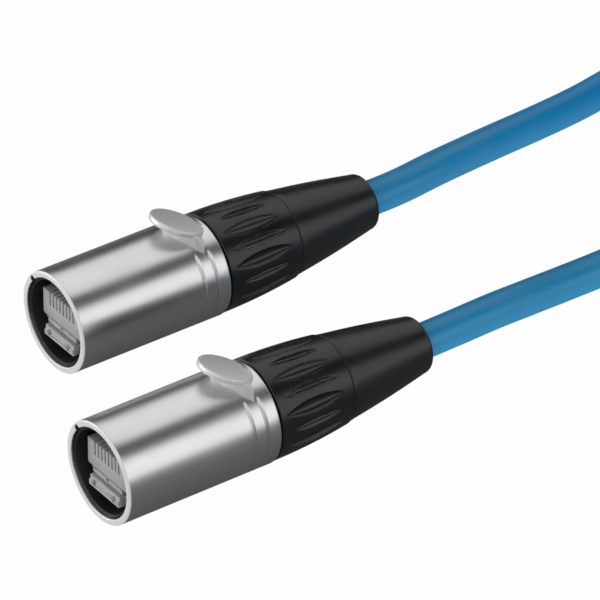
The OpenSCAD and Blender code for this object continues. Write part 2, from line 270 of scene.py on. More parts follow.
    def lay_floor(self) -> bpy.types.Object:
        """Makes the pale floor that the cable lies on; its paper's dark grey, which reflections see, is
        painted shade.

        Returns:
            The floor.
        """
        half = self.floor_size / 2
        mesh = bpy.data.meshes.new("floor")
        mesh.from_pydata([(-half, -half, 0), (half, -half, 0), (half, half, 0), (-half, half, 0)],
                         [], [(0, 1, 2, 3)])
        floor = put(mesh, "floor")
        floor.location.z = -0.0002
        paper = Material("floor_paper")
        # The paper's dark grey, seen mostly in reflections, is painted shade.
        paper.set(Base_Color=rgb(*(self.floor_paper_shade,) * 3), Roughness=0.9, Specular_IOR_Level=0.1)
        glow = paper.node("ShaderNodeEmission", Color=rgb(1.0, 1.0, 1.0))
        mix = paper.node("ShaderNodeMixShader")
        paper.link(self.seen_share(paper.tree, self.floor_seen, self.floor_glossy,
                                   self.floor_seen, self.floor_bounce), mix.inputs["Fac"])
        paper.link(paper.shader.outputs[0], mix.inputs[1])
        paper.link(glow.outputs[0], mix.inputs[2])
        paper.link(mix.outputs[0], paper.tree.nodes["Material Output"].inputs["Surface"])
        mesh.materials.append(paper.data)
        return floor


# --------------------------------------------------------------------------- the cable


@dataclass
class Cable:
    """The cable from one plug to the other, with its spare length wound in a hank."""

    diameter: float = 6.5
    length: float = 3.0
    run_len: float = 55.0
    fold_r: float = 19.5
    pitch: float = 6.6
    layers: int = 6
    hank_left: float = 106.0
    hank_y: float = 13.0
    tie_t: float = 1.5
    lead_a: list[Point] = field(default_factory=lambda: [
        (16, 21, 9.5), (30, 21, 9.5), (43, 21, 9.5), (50, 21.1, 9.5),
        (60, 23.2, 8.6), (70, 26.8, 6.2), (80, 29.9, 4.1), (90, 31.4, 3.3), (100, 32.2, 3.4),
        (111, 32.5, 4.7)])
    lead_b: list[Point] = field(default_factory=lambda: [
        (-3, -21, 9.5), (11, -21, 9.5), (24, -21, 9.5), (31, -20.9, 9.5),
        (41, -19.6, 8.6), (51, -16.9, 6.2), (61, -14.6, 4.1), (71, -13.7, 3.3),
        (84, -13.4, 3.3), (100, -13.2, 3.6), (117, -13.1, 4.7)])

    @property
    def left_x(self) -> float:
        """The middle of the hank's left folds."""
        return self.hank_left + self.fold_r + self.pitch + self.diameter / 2

    @property
    def right_x(self) -> float:
        """The middle of the hank's right folds."""
        return self.left_x + self.run_len

    def level(self, layer: float) -> float:
        """Returns the height of the cable's middle on a layer, which may be between two."""
        return self.tie_t + self.diameter / 2 + layer * self.pitch

    def straight(self, start_x: float, end_x: float, across: float, low: float,
                 high: float) -> list[Point]:
        """Points of one straight run of the hank, without its last.

        Args:
            start_x: Where the run starts.
            end_x: Where it ends.
            across: Its distance from the hank's middle line, signed.
            low: The layer that it starts on.
            high: The layer that it ends on.

        Returns:
            The points in millimetres.
        """
        count = 5
        return [(start_x + (end_x - start_x) * i / count, self.hank_y + across,
                 self.level(low + (high - low) * smooth(i / count))) for i in range(count)]

    def fold(self, middle_x: float, start_angle: float, radius: Callable[[float], float],
             layer: Callable[[float], float]) -> list[Point]:
        """Points of one half-round fold of the hank, without its last.

        Args:
            middle_x: The fold's middle.
            start_angle: The angle at which it starts, in degrees from +X.
            radius: The fold's radius for a share of the way round it.
            layer: The layer for a share of the way round it.

        Returns:
            The points in millimetres. The cable runs clockwise seen from above.
        """
        count = 12
        points = []
        for i in range(count):
            share = i / count
            angle = math.radians(start_angle - 180.0 * share)
            points.append((middle_x + radius(share) * math.cos(angle),
                           self.hank_y + radius(share) * math.sin(angle),
                           self.level(layer(share))))
        return points

    def hank(self) -> list[Point]:
        """Winds the turns: up the inner column, over at the top and down the outer one.

        Returns:
            The points in millimetres, from lead A to lead B.
        """
        inner, outer = self.fold_r, self.fold_r + self.pitch
        left, right, top = self.left_x, self.right_x, self.layers - 1
        points: list[Point] = []
        for layer in range(top):
            points += self.straight(left, right, inner, layer, layer)
            points += self.fold(right, 90, lambda s: inner, lambda s, k=layer: k)
            points += self.straight(right, left, -inner, layer, layer + 1)
            points += self.fold(left, -90, lambda s: inner, lambda s, k=layer + 1: k)
        points += self.straight(left, right, inner, top, top)
        points += self.fold(right, 90, lambda s: inner + self.pitch * smooth(2 * s - 1),
                            lambda s: top)
        for layer in range(top, 0, -1):
            points += self.straight(right, left, -outer, layer, layer)
            points += self.fold(left, -90, lambda s: outer, lambda s, k=layer: k)
            points += self.straight(left, right, outer, layer, layer)
            points += self.fold(right, 90, lambda s: outer, lambda s, k=layer: k - smooth(2 * s))
        points += self.straight(right, left, -outer, 0, 0)
        points.append((left, self.hank_y - outer, self.level(0)))
        return points

    def build(self) -> bpy.types.Object:
        """Returns:
            The cable.
        """
        points = self.lead_a + self.hank() + self.lead_b[::-1]
        data = bpy.data.curves.new("cable", "CURVE")
        data.dimensions = "3D"
        data.resolution_u = 8
        data.bevel_depth = self.diameter / 2 * MM
        data.bevel_resolution = 10
        data.use_fill_caps = True
        spline = data.splines.new("BEZIER")
        spline.bezier_points.add(len(points) - 1)
        for knot, place in zip(spline.bezier_points, points):
            knot.co = mm(*place)
            knot.handle_left_type = knot.handle_right_type = "AUTO"
        cable = bpy.data.objects.new("cable", data)
        bpy.context.collection.objects.link(cable)
        data.materials.append(Finish.JACKET.material())
        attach(cable, "cable")
        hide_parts("cable_run_a", "cable_run_b", "cable_hank")
        LOG.info("%s runs from plug to plug", cable.name)
        return cable


# --------------------------------------------------------------------------- mesh helpers


Radius = Callable[[float, float, float], float]


def plain_radius(along: float, radius: float, angle: float) -> float:
    """Returns the profile's own radius: a surface with no relief."""
    return radius


def arc(middle: tuple[float, float], radius: float, start: float, end: float,
        steps: int = 5) -> list[tuple[float, float]]:
    """Points of a rounded corner in a turned profile.

    Args:
        middle: The corner's middle, as distance along the axis and radius, in millimetres.
        radius: The corner's own radius.
        start: The angle at which it starts, in degrees, 0 along the axis and 90 outwards.
        end: The angle at which it ends.
        steps: How many pieces it has.

    Returns:
        Pairs of distance and radius.
    """
    points = []
    for i in range(steps + 1):
        angle = math.radians(start + (end - start) * i / steps)
        points.append((middle[0] + radius * math.cos(angle),
                       middle[1] + radius * math.sin(angle)))
    return points


def spaced(start: tuple[float, float], end: tuple[float, float],
           step: float) -> list[tuple[float, float]]:
    """Points between two profile points, neither of which is in the list.

    Args:
        start: The first profile point.
        end: The last profile point.
        step: The greatest distance between neighbours, in millimetres.
    """
    count = max(1, math.ceil(math.dist(start, end) / step))
    return [(start[0] + (end[0] - start[0]) * i / count,
             start[1] + (end[1] - start[1]) * i / count) for i in range(1, count)]


def lathe(name: str, profile: Sequence[tuple[float, float]], segments: int,
          relief: Radius = plain_radius) -> bpy.types.Mesh:
    """Turns a closed profile about the X axis.

    Args:
        name: The mesh's name.
        profile: Pairs of distance along X and radius, in millimetres, round the section.
        segments: How many steps the turn has.
        relief: Gives the real radius for a distance, a radius and an angle in degrees,
            measured from +Z towards -Y.

    Returns:
        The mesh, in metres.
    """
    build = bmesh.new()
    rings = []
    for along, radius in profile:
        ring = []
        for i in range(segments):
            angle = 360.0 * i / segments
            real = relief(along, radius, angle)
            turn = math.radians(angle)
            ring.append(build.verts.new(mm(along, -real * math.sin(turn), real * math.cos(turn))))
        rings.append(ring)
    for this, after in zip(rings, rings[1:] + rings[:1]):
        for i in range(segments):
            j = (i + 1) % segments
            build.faces.new((this[i], this[j], after[j], after[i]))
    bmesh.ops.recalc_face_normals(build, faces=build.faces)
    mesh = bpy.data.meshes.new(name)
    build.to_mesh(mesh)
    build.free()
    return mesh


def sweep(build: bmesh.types.BMesh, path: Sequence[Vector], outline: Callable[[int], list[Vector]],
          closed: bool, slot: int = 0) -> None:
    """Adds a solid that follows a path to a mesh being built.

    Args:
        build: The mesh being built.
        path: The path's points; only their number matters here.
        outline: Gives the ring of corners, in metres, at each point of the path.
        closed: Whether the path's end meets its start.
        slot: The material slot of its faces.
    """
    rings = [[build.verts.new(corner) for corner in outline(i)] for i in range(len(path))]
    count = len(rings[0])
    pairs = list(zip(rings, rings[1:] + rings[:1])) if closed else list(zip(rings, rings[1:]))
    faces = []
    for this, after in pairs:
        for k in range(count):
            j = (k + 1) % count
            faces.append(build.faces.new((this[k], this[j], after[j], after[k])))
    if not closed:
        faces.append(build.faces.new(rings[0][::-1]))
        faces.append(build.faces.new(rings[-1]))
    for face in faces:
        face.material_index = slot


def block(name: str, low: Point, high: Point) -> bpy.types.Mesh:
    """Returns a box between two corners given in millimetres."""
    build = bmesh.new()
    bmesh.ops.create_cube(build, size=1.0)
    size, middle = mm(*high) - mm(*low), (mm(*high) + mm(*low)) / 2
    for vert in build.verts:
        vert.co = middle + Vector(a * b for a, b in zip(vert.co, size))
    mesh = bpy.data.meshes.new(name)
    build.to_mesh(mesh)
    build.free()
    return mesh


def prism(name: str, outline: Sequence[tuple[float, float]], low: float, high: float,
          place: Callable[[float, float, float], Point]) -> bpy.types.Mesh:
    """Extrudes a flat outline.

    Args:
        name: The mesh's name.
        outline: The corners, in millimetres, in the outline's own plane.
        low: Where the extrusion starts.
        high: Where it ends.
        place: Turns a corner and an extrusion distance into a point in millimetres.

    Returns:
        The closed mesh, in metres.
    """
    build = bmesh.new()
    ends = []
    for depth in (low, high):
        ends.append([build.verts.new(mm(*place(u, v, depth))) for u, v in outline])
    build.faces.new(ends[0])
    build.faces.new(ends[1][::-1])
    for i in range(len(outline)):
        j = (i + 1) % len(outline)
        build.faces.new((ends[0][i], ends[1][i], ends[1][j], ends[0][j]))
    bmesh.ops.recalc_face_normals(build, faces=build.faces)
    mesh = bpy.data.meshes.new(name)
    build.to_mesh(mesh)
    build.free()
    return mesh


def put(mesh: bpy.types.Mesh, name: str) -> bpy.types.Object:
    """Makes an object of a mesh and links it."""
    piece = bpy.data.objects.new(name, mesh)
    bpy.context.collection.objects.link(piece)
    return piece


def applied(piece: bpy.types.Object) -> bpy.types.Object:
    """Applies a piece's modifiers to its mesh and returns the piece."""
    depsgraph = bpy.context.evaluated_depsgraph_get()
    mesh = bpy.data.meshes.new_from_object(piece.evaluated_get(depsgraph))
    piece.modifiers.clear()
    old = piece.data
    piece.data = mesh
    mesh.name = piece.name
    bpy.data.meshes.remove(old)
    return piece


def bevelled(piece: bpy.types.Object, width: float, segments: int = 3,
             angle: float = 30.0) -> bpy.types.Object:
    """Rounds a piece's sharp edges.

    Args:
        piece: The piece.
        width: The rounding's width in millimetres.
        segments: How many steps the rounding has.
        angle: Edges sharper than this, in degrees, are rounded.

    Returns:
        The piece.
    """
    modifier = piece.modifiers.new("edges", "BEVEL")
    modifier.width = width * MM
    modifier.segments = segments
    modifier.limit_method = "ANGLE"
    modifier.angle_limit = math.radians(angle)
    modifier.harden_normals = False
    return applied(piece)


def combined(piece: bpy.types.Object, others: Sequence[bpy.types.Object],
             operation: str) -> bpy.types.Object:
    """Adds other solids to a piece, or cuts them from it, and removes them.

    Args:
        piece: The piece that stays.
        others: The solids to add or cut.
        operation: UNION or DIFFERENCE.

    Returns:
        The piece.
    """
    for other in others:
        modifier = piece.modifiers.new("solid", "BOOLEAN")
        modifier.operation = operation
        modifier.solver = "EXACT"
        modifier.object = other
        applied(piece)
        old = other.data
        bpy.data.objects.remove(other)
        bpy.data.meshes.remove(old)
    return piece


def joined(name: str, pieces: Sequence[bpy.types.Object]) -> bpy.types.Object:
    """Joins pieces that touch into one object of separate closed shells.

    Args:
        name: The new object's name.
        pieces: The pieces, which are removed.

    Returns:
        The joined object.
    """
    build = bmesh.new()
    for piece in pieces:
        build.from_mesh(piece.data)
    mesh = bpy.data.meshes.new(name)
    build.to_mesh(mesh)
    build.free()
    for piece in pieces:
        old = piece.data
        bpy.data.objects.remove(piece)
        bpy.data.meshes.remove(old)
    return put(mesh, name)


def shade(piece: bpy.types.Object, sharp_over: float = 35.0) -> bpy.types.Object:
    """Shades a piece smooth, with its sharp edges kept.

    Args:
        piece: The piece.
        sharp_over: Edges with a greater angle than this, in degrees, stay sharp.

    Returns:
        The piece.
    """
    mesh = piece.data
    mesh.polygons.foreach_set("use_smooth", [True] * len(mesh.polygons))
    mesh.set_sharp_from_angle(angle=math.radians(sharp_over))
    mesh.update()
    return piece


# --------------------------------------------------------------------------- shader groups


class Groups:
    """Shader node groups that several materials share, each built once."""

    def __init__(self) -> None:
        """Starts with no group built."""
        self.made: dict[str, bpy.types.NodeTree] = {}

    @staticmethod
    def start(name: str, inputs: dict[str, float],
              outputs: Sequence[str]) -> tuple[bpy.types.NodeTree, bpy.types.Node, bpy.types.Node]:
        """Makes an empty group with named number sockets.

        Args:
            name: The group's name.
            inputs: Each input's name and default.
            outputs: The outputs' names.

        Returns:
            The group, its input node and its output node.
        """
        group = bpy.data.node_groups.new(name, "ShaderNodeTree")
        for title, value in inputs.items():
            socket = group.interface.new_socket(title, in_out="INPUT", socket_type="NodeSocketFloat")
            socket.default_value = value
        for title in outputs:
            group.interface.new_socket(title, in_out="OUTPUT", socket_type="NodeSocketFloat")
        return group, group.nodes.new("NodeGroupInput"), group.nodes.new("NodeGroupOutput")

    def grain(self) -> bpy.types.NodeTree:
        """Fine moulded or cast grain: a height, and a mask that wanders slowly.

        Returns:
            The group. Scale is in grains per metre.
        """
        if "grain" in self.made:
            return self.made["grain"]
        group, start, end = self.start("grain", {"Scale": 9000.0, "Patch": 160.0},
                                       ("Height", "Wander"))
        place = group.nodes.new("ShaderNodeTexCoord")
        fine = group.nodes.new("ShaderNodeTexNoise")
        fine.inputs["Detail"].default_value = 3.0
        fine.inputs["Roughness"].default_value = 0.6
        slow = group.nodes.new("ShaderNodeTexNoise")
        slow.inputs["Detail"].default_value = 4.0
        link = group.links.new
        link(place.outputs["Object"], fine.inputs["Vector"])
        link(place.outputs["Object"], slow.inputs["Vector"])
        link(start.outputs["Scale"], fine.inputs["Scale"])
        link(start.outputs["Patch"], slow.inputs["Scale"])
        link(fine.outputs["Fac"], end.inputs["Height"])
        link(slow.outputs["Fac"], end.inputs["Wander"])
        self.made["grain"] = group
        return group

    def scuffs(self) -> bpy.types.NodeTree:
        """Sparse fine scratches and handling marks: a mask of thin broken lines.

        Returns:
            The group. Scale is in marks per metre, and Amount from 0 to 1.
        """
        if "scuffs" in self.made:
            return self.made["scuffs"]
        group, start, end = self.start("scuffs", {"Scale": 300.0, "Amount": 0.4}, ("Mask",))
        place = group.nodes.new("ShaderNodeTexCoord")
        link = group.links.new
        masks = []
        for turn in (0.5, 2.1):
            aim = group.nodes.new("ShaderNodeMapping")
            aim.inputs["Rotation"].default_value = (turn, 0.4 * turn, turn)
            aim.inputs["Scale"].default_value = (1.0, 0.05, 1.0)
            noise = group.nodes.new("ShaderNodeTexNoise")
            noise.inputs["Detail"].default_value = 1.0
            lines = group.nodes.new("ShaderNodeMapRange")
            lines.inputs["From Min"].default_value = 0.70
            lines.inputs["From Max"].default_value = 0.78
            link(place.outputs["Object"], aim.inputs["Vector"])
            link(aim.outputs["Vector"], noise.inputs["Vector"])
            link(start.outputs["Scale"], noise.inputs["Scale"])
            link(noise.outputs["Fac"], lines.inputs["Value"])
            masks.append(lines)
        either = group.nodes.new("ShaderNodeMath")
        either.operation = "MAXIMUM"
        link(masks[0].outputs["Result"], either.inputs[0])
        link(masks[1].outputs["Result"], either.inputs[1])
        gain = group.nodes.new("ShaderNodeMath")
        gain.operation = "MULTIPLY"
        link(either.outputs[0], gain.inputs[0])
        link(start.outputs["Amount"], gain.inputs[1])
        link(gain.outputs[0], end.inputs["Mask"])
        self.made["scuffs"] = group
        return group

    def streaks(self) -> bpy.types.NodeTree:
        """Fine polishing lines round the X axis: a height that varies along X.

        Returns:
            The group. Lines is in lines per metre.
        """
        if "streaks" in self.made:
            return self.made["streaks"]
        group, start, end = self.start("streaks", {"Lines": 12000.0, "Round": 60.0}, ("Height",))
        place = group.nodes.new("ShaderNodeTexCoord")
        link = group.links.new
        parts = group.nodes.new("ShaderNodeSeparateXYZ")
        link(place.outputs["Object"], parts.inputs[0])
        along = group.nodes.new("ShaderNodeMath")
        along.operation = "MULTIPLY"
        link(parts.outputs["X"], along.inputs[0])
        link(start.outputs["Lines"], along.inputs[1])
        across = []
        for axis in ("Y", "Z"):
            scaled = group.nodes.new("ShaderNodeMath")
            scaled.operation = "MULTIPLY"
            link(parts.outputs[axis], scaled.inputs[0])
            link(start.outputs["Round"], scaled.inputs[1])
            across.append(scaled)
        whole = group.nodes.new("ShaderNodeCombineXYZ")
        link(along.outputs[0], whole.inputs["X"])
        link(across[0].outputs[0], whole.inputs["Y"])
        link(across[1].outputs[0], whole.inputs["Z"])
        noise = group.nodes.new("ShaderNodeTexNoise")
        noise.inputs["Scale"].default_value = 1.0
        noise.inputs["Detail"].default_value = 2.0
        link(whole.outputs[0], noise.inputs["Vector"])
        link(noise.outputs["Fac"], end.inputs["Height"])
        self.made["streaks"] = group
        return group

    def weave(self) -> bpy.types.NodeTree:
        """Woven ribs that cross: a height, and a mask of the raised threads.

        Returns:
            The group. Ribs is in threads per metre across the strap.
        """
        if "weave" in self.made:
            return self.made["weave"]
        group, start, end = self.start("weave", {"Ribs": 1500.0, "Picks": 1100.0},
                                       ("Height", "Fuzz"))
        place = group.nodes.new("ShaderNodeTexCoord")
        link = group.links.new
        parts = group.nodes.new("ShaderNodeSeparateXYZ")
        link(place.outputs["Object"], parts.inputs[0])
        round_it = group.nodes.new("ShaderNodeMath")
        round_it.operation = "ADD"
        link(parts.outputs["Y"], round_it.inputs[0])
        link(parts.outputs["Z"], round_it.inputs[1])
        waves = []
        for source, count in ((parts.outputs["X"], "Ribs"), (round_it.outputs[0], "Picks")):
            scaled = group.nodes.new("ShaderNodeMath")
            scaled.operation = "MULTIPLY"
            link(source, scaled.inputs[0])
            link(start.outputs[count], scaled.inputs[1])
            turned = group.nodes.new("ShaderNodeMath")
            turned.operation = "MULTIPLY"
            turned.inputs[1].default_value = math.pi
            link(scaled.outputs[0], turned.inputs[0])
            wave = group.nodes.new("ShaderNodeMath")
            wave.operation = "SINE"
            link(turned.outputs[0], wave.inputs[0])
            waves.append(wave)
        cross = group.nodes.new("ShaderNodeMath")
        cross.operation = "MULTIPLY"
        link(waves[0].outputs[0], cross.inputs[0])
        link(waves[1].outputs[0], cross.inputs[1])
        height = group.nodes.new("ShaderNodeMapRange")
        height.inputs["From Min"].default_value = -1.0
        link(cross.outputs[0], height.inputs["Value"])
        fuzz = group.nodes.new("ShaderNodeTexNoise")
        fuzz.inputs["Scale"].default_value = 4200.0
        fuzz.inputs["Detail"].default_value = 4.0
        link(place.outputs["Object"], fuzz.inputs["Vector"])
        link(height.outputs["Result"], end.inputs["Height"])
        link(fuzz.outputs["Fac"], end.inputs["Fuzz"])
        self.made["weave"] = group
        return group


GROUPS = Groups()


class Material:
    """One material being made: its node tree, with short ways to add to it."""

    def __init__(self, name: str) -> None:
        """Starts a material with a Principled shader.

        Args:
            name: The material's name.
        """
        self.data = bpy.data.materials.new(name)
        self.data.use_nodes = True
        self.tree = self.data.node_tree
        self.shader = self.tree.nodes["Principled BSDF"]

    def set(self, **values: float | Colour) -> None:
        """Sets the shader's own sockets, each named with _ for a space."""
        for title, value in values.items():
            self.shader.inputs[title.replace("_", " ")].default_value = value

    def node(self, kind: str, **inputs: float | Colour) -> bpy.types.Node:
        """Adds a node and sets its named inputs."""
        made = self.tree.nodes.new(kind)
        for title, value in inputs.items():
            made.inputs[title.replace("_", " ")].default_value = value
        return made

    def group(self, tree: bpy.types.NodeTree, **inputs: float) -> bpy.types.Node:
        """Adds a shared group with this material's own values."""
        made = self.tree.nodes.new("ShaderNodeGroup")
        made.node_tree = tree
        for title, value in inputs.items():
            made.inputs[title].default_value = value
        return made

    def link(self, output: bpy.types.NodeSocket, target: bpy.types.NodeSocket) -> None:
        """Links two sockets."""
        self.tree.links.new(output, target)

    def span(self, output: bpy.types.NodeSocket, low: float, high: float,
             from_low: float = 0.0, from_high: float = 1.0) -> bpy.types.NodeSocket:
        """Maps a mask to a range of values.

        Args:
            output: The mask.
            low: The value where the mask is from_low.
            high: The value where the mask is from_high.
            from_low: The mask's low end.
            from_high: The mask's high end.

        Returns:
            The mapped socket.
        """
        ranged = self.node("ShaderNodeMapRange", From_Min=from_low, From_Max=from_high,
                           To_Min=low, To_Max=high)
        self.link(output, ranged.inputs["Value"])
        return ranged.outputs["Result"]

    def blend(self, mask: bpy.types.NodeSocket, low: Colour, high: Colour) -> bpy.types.NodeSocket:
        """Mixes two colours by a mask.

        Args:
            mask: The mask, from 0 to 1.
            low: The colour where it is 0.
            high: The colour where it is 1.

        Returns:
            The mixed colour's socket.
        """
        mixed = self.tree.nodes.new("ShaderNodeMix")
        mixed.data_type = "RGBA"
        self.link(mask, mixed.inputs["Factor"])
        mixed.inputs["A"].default_value = low
        mixed.inputs["B"].default_value = high
        for socket, colour in zip([i for i in mixed.inputs if i.type == "RGBA"], (low, high)):
            socket.default_value = colour
        return next(o for o in mixed.outputs if o.type == "RGBA")

    def bump(self, height: bpy.types.NodeSocket, strength: float, distance: float,
             under: bpy.types.Node | None = None) -> bpy.types.Node:
        """Adds a bump from a height.

        Args:
            height: The height's socket.
            strength: The bump's strength.
            distance: The bump's real height in metres.
            under: A bump that this one lies on.

        Returns:
            The bump, which is linked to the shader's normal.
        """
        made = self.node("ShaderNodeBump", Strength=strength, Distance=distance)
        self.link(height, made.inputs["Height"])
        if under is not None:
            self.link(under.outputs["Normal"], made.inputs["Normal"])
        self.link(made.outputs["Normal"], self.shader.inputs["Normal"])
        return made


# --------------------------------------------------------------------------- finishes


@dataclass(frozen=True)
class NickelFinish:
    """Satin nickel plate on a die-cast shell."""

    name: str = "satin_nickel"
    bright: Colour = (0.74, 0.74, 0.745, 1.0)
    dull: Colour = (0.68, 0.68, 0.685, 1.0)
    low_rough: float = 0.28
    high_rough: float = 0.33

    def make(self) -> bpy.types.Material:
        """Returns the material: fine polishing lines, slow tarnish and a few scuffs."""
        made = Material(self.name)
        made.set(Metallic=1.0)
        grain = made.group(GROUPS.grain(), Scale=14000.0, Patch=120.0)
        scuffs = made.group(GROUPS.scuffs(), Scale=420.0, Amount=0.12)
        streaks = made.group(GROUPS.streaks(), Lines=15000.0, Round=80.0)
        made.link(made.blend(grain.outputs["Wander"], self.bright, self.dull),
                  made.shader.inputs["Base Color"])
        rough = made.node("ShaderNodeMath")
        rough.operation = "ADD"
        made.link(made.span(grain.outputs["Wander"], self.low_rough, self.high_rough, 0.3, 0.7),
                  rough.inputs[0])
        made.link(made.span(scuffs.outputs["Mask"], 0.0, 0.03), rough.inputs[1])
        made.link(rough.outputs[0], made.shader.inputs["Roughness"])
        lines = made.bump(streaks.outputs["Height"], 0.10, 0.00002)
        made.bump(grain.outputs["Height"], 0.06, 0.00002, lines)
        return made.data


@dataclass(frozen=True)
class TabHighlightFinish:
    """Duller plate on the cast thumb tab, painted paler than the shell: a painted highlight for the light
    that its top catches.
    """

    name: str = "cast_tab"

    def make(self) -> bpy.types.Material:
        """Returns the material: soft grey plate, painted pale as a highlight, with a fine cast grain."""
        made = Material(self.name)
        # The tab is painted paler and less metallic than the shell as a painted highlight; the grain's
        # slow variation is its own tone.
        made.set(Metallic=0.55)
        grain = made.group(GROUPS.grain(), Scale=9000.0, Patch=260.0)
        made.link(made.blend(grain.outputs["Wander"], rgb(0.86, 0.86, 0.865), rgb(0.78, 0.78, 0.785)),
                  made.shader.inputs["Base Color"])
        made.link(made.span(grain.outputs["Wander"], 0.38, 0.48), made.shader.inputs["Roughness"])
        made.bump(grain.outputs["Height"], 0.15, 0.00001)
        return made.data


@dataclass(frozen=True)
class RimHighlightFinish:
    """The shell's turned rim face, painted pale: a painted highlight for the plate shown blown white by
    the light.
    """

    name: str = "rim_painted_highlight"

    def make(self) -> bpy.types.Material:
        """Returns the material: pale metal, a painted highlight, with turning marks."""
        made = Material(self.name)
        # The pale base colour and low metallic paint the rim's highlight; the slow variation is the
        # metal's own tone.
        made.set(Metallic=0.35)
        grain = made.group(GROUPS.grain(), Scale=16000.0, Patch=300.0)
        made.link(made.blend(grain.outputs["Wander"], rgb(0.96, 0.96, 0.96), rgb(0.88, 0.88, 0.89)),
                  made.shader.inputs["Base Color"])
        made.link(made.span(grain.outputs["Wander"], 0.42, 0.55), made.shader.inputs["Roughness"])
        made.bump(grain.outputs["Height"], 0.08, 0.00001)
        return made.data


@dataclass(frozen=True)
class MouldedFinish:
    """Black moulded plastic or rubber with a fine grain."""

    name: str
    colour: Colour
    worn: Colour
    low_rough: float
    high_rough: float
    grain_scale: float
    grain_height: float
    specular: float = 0.5
    scuff: float = 0.3

    def make(self) -> bpy.types.Material:
        """Returns the material: grain, wandering gloss and light handling marks."""
        made = Material(self.name)
        made.set(Specular_IOR_Level=self.specular)
        grain = made.group(GROUPS.grain(), Scale=self.grain_scale, Patch=220.0)
        scuffs = made.group(GROUPS.scuffs(), Scale=260.0, Amount=self.scuff)
        marks = made.node("ShaderNodeMath")
        marks.operation = "MAXIMUM"
        made.link(made.span(grain.outputs["Wander"], 0.0, 0.5, 0.35, 0.75), marks.inputs[0])
        made.link(scuffs.outputs["Mask"], marks.inputs[1])
        made.link(made.blend(marks.outputs[0], self.colour, self.worn),
                  made.shader.inputs["Base Color"])
        made.link(made.span(grain.outputs["Wander"], self.low_rough, self.high_rough, 0.3, 0.7),
                  made.shader.inputs["Roughness"])
        made.bump(grain.outputs["Height"], 0.25, self.grain_height)
        return made.data


@dataclass(frozen=True)
class JacketFinish:
    """The cable's soft blue jacket."""

    name: str = "blue_jacket"
    colour: Colour = (0.012, 0.310, 0.620, 1.0)
    pale: Colour = (0.020, 0.335, 0.650, 1.0)

    def make(self) -> bpy.types.Material:
        """Returns the material: a matte extruded skin with faint lay marks and dust."""
        made = Material(self.name)
        made.set(Specular_IOR_Level=0.5)
        grain = made.group(GROUPS.grain(), Scale=7000.0, Patch=140.0)
        scuffs = made.group(GROUPS.scuffs(), Scale=240.0, Amount=0.35)
        marks = made.node("ShaderNodeMath")
        marks.operation = "MAXIMUM"
        made.link(made.span(grain.outputs["Wander"], 0.0, 0.8, 0.35, 0.7), marks.inputs[0])
        made.link(scuffs.outputs["Mask"], marks.inputs[1])
        made.link(made.blend(marks.outputs[0], self.colour, self.pale),
                  made.shader.inputs["Base Color"])
        made.link(made.span(grain.outputs["Wander"], 0.34, 0.42, 0.3, 0.7),
                  made.shader.inputs["Roughness"])
        made.bump(grain.outputs["Height"], 0.25, 0.00001)
        return made.data


@dataclass(frozen=True)
class ClearFinish:
    """The plug's slightly smoky clear plastic."""

    name: str = "clear_plug"
    tint: Colour = (0.70, 0.71, 0.72, 1.0)

    def make(self) -> bpy.types.Material:
        """Returns the material: clear moulded plastic with faint flow marks."""
        made = Material(self.name)
        made.set(Base_Color=self.tint, Transmission_Weight=0.42, IOR=1.55)
        grain = made.group(GROUPS.grain(), Scale=2600.0, Patch=500.0)
        made.link(made.span(grain.outputs["Wander"], 0.06, 0.18, 0.3, 0.7),
                  made.shader.inputs["Roughness"])
        made.bump(grain.outputs["Wander"], 0.30, 0.00010)
        return made.data


@dataclass(frozen=True)
class GoldFinish:
    """Gold plate on the plug's contacts."""

    name: str = "gold_contact"

    def make(self) -> bpy.types.Material:
        """Returns the material: gold with slight wear."""
        made = Material(self.name)
        made.set(Metallic=1.0)
        grain = made.group(GROUPS.grain(), Scale=20000.0, Patch=900.0)
        made.link(made.blend(grain.outputs["Wander"], rgb(0.86, 0.62, 0.22), rgb(0.70, 0.50, 0.20)),
                  made.shader.inputs["Base Color"])
        made.link(made.span(grain.outputs["Wander"], 0.16, 0.34), made.shader.inputs["Roughness"])
        made.bump(grain.outputs["Height"], 0.1, 0.00001)
        return made.data


@dataclass(frozen=True)
class StrapFinish:
    """Black woven strap, or the brushed loop pile on it."""

    name: str
    colour: Colour
    fuzz: Colour
    pile: float

    def make(self) -> bpy.types.Material:
        """Returns the material: crossing threads under a soft fuzz."""
        made = Material(self.name)
        made.set(Roughness=0.85, Specular_IOR_Level=0.2, Sheen_Weight=0.35)
        weave = made.group(GROUPS.weave())
        made.link(made.blend(weave.outputs["Fuzz"], self.colour, self.fuzz),
                  made.shader.inputs["Base Color"])
        threads = made.bump(weave.outputs["Height"], 0.8 * (1.0 - self.pile), 0.00020)
        made.bump(weave.outputs["Fuzz"], 0.3 + 0.6 * self.pile, 0.00015, threads)
        return made.data


@dataclass(frozen=True)
class WireFinish:
    """Insulation of one conductor, plain or white with coloured bands."""

    name: str
    colour: Colour
    banded: bool

    def make(self) -> bpy.types.Material:
        """Returns the material: glossy insulation, with bands if it is banded."""
        made = Material(self.name)
        made.set(Roughness=0.38)
        grain = made.group(GROUPS.grain(), Scale=9000.0, Patch=900.0)
        if self.banded:
            bands = made.node("ShaderNodeTexWave", Scale=120.0, Distortion=0.6)
            place = made.node("ShaderNodeTexCoord")
            made.link(place.outputs["Object"], bands.inputs["Vector"])
            mask = made.span(bands.outputs["Fac"], 0.0, 1.0, 0.70, 0.80)
            made.link(made.blend(mask, rgb(0.78, 0.78, 0.76), self.colour),
                      made.shader.inputs["Base Color"])
        else:
            deep = rgb(*(part * 0.8 for part in self.colour[:3]))
            made.link(made.blend(grain.outputs["Wander"], self.colour, deep),
                      made.shader.inputs["Base Color"])
        made.bump(grain.outputs["Height"], 0.2, 0.00002)
        return made.data


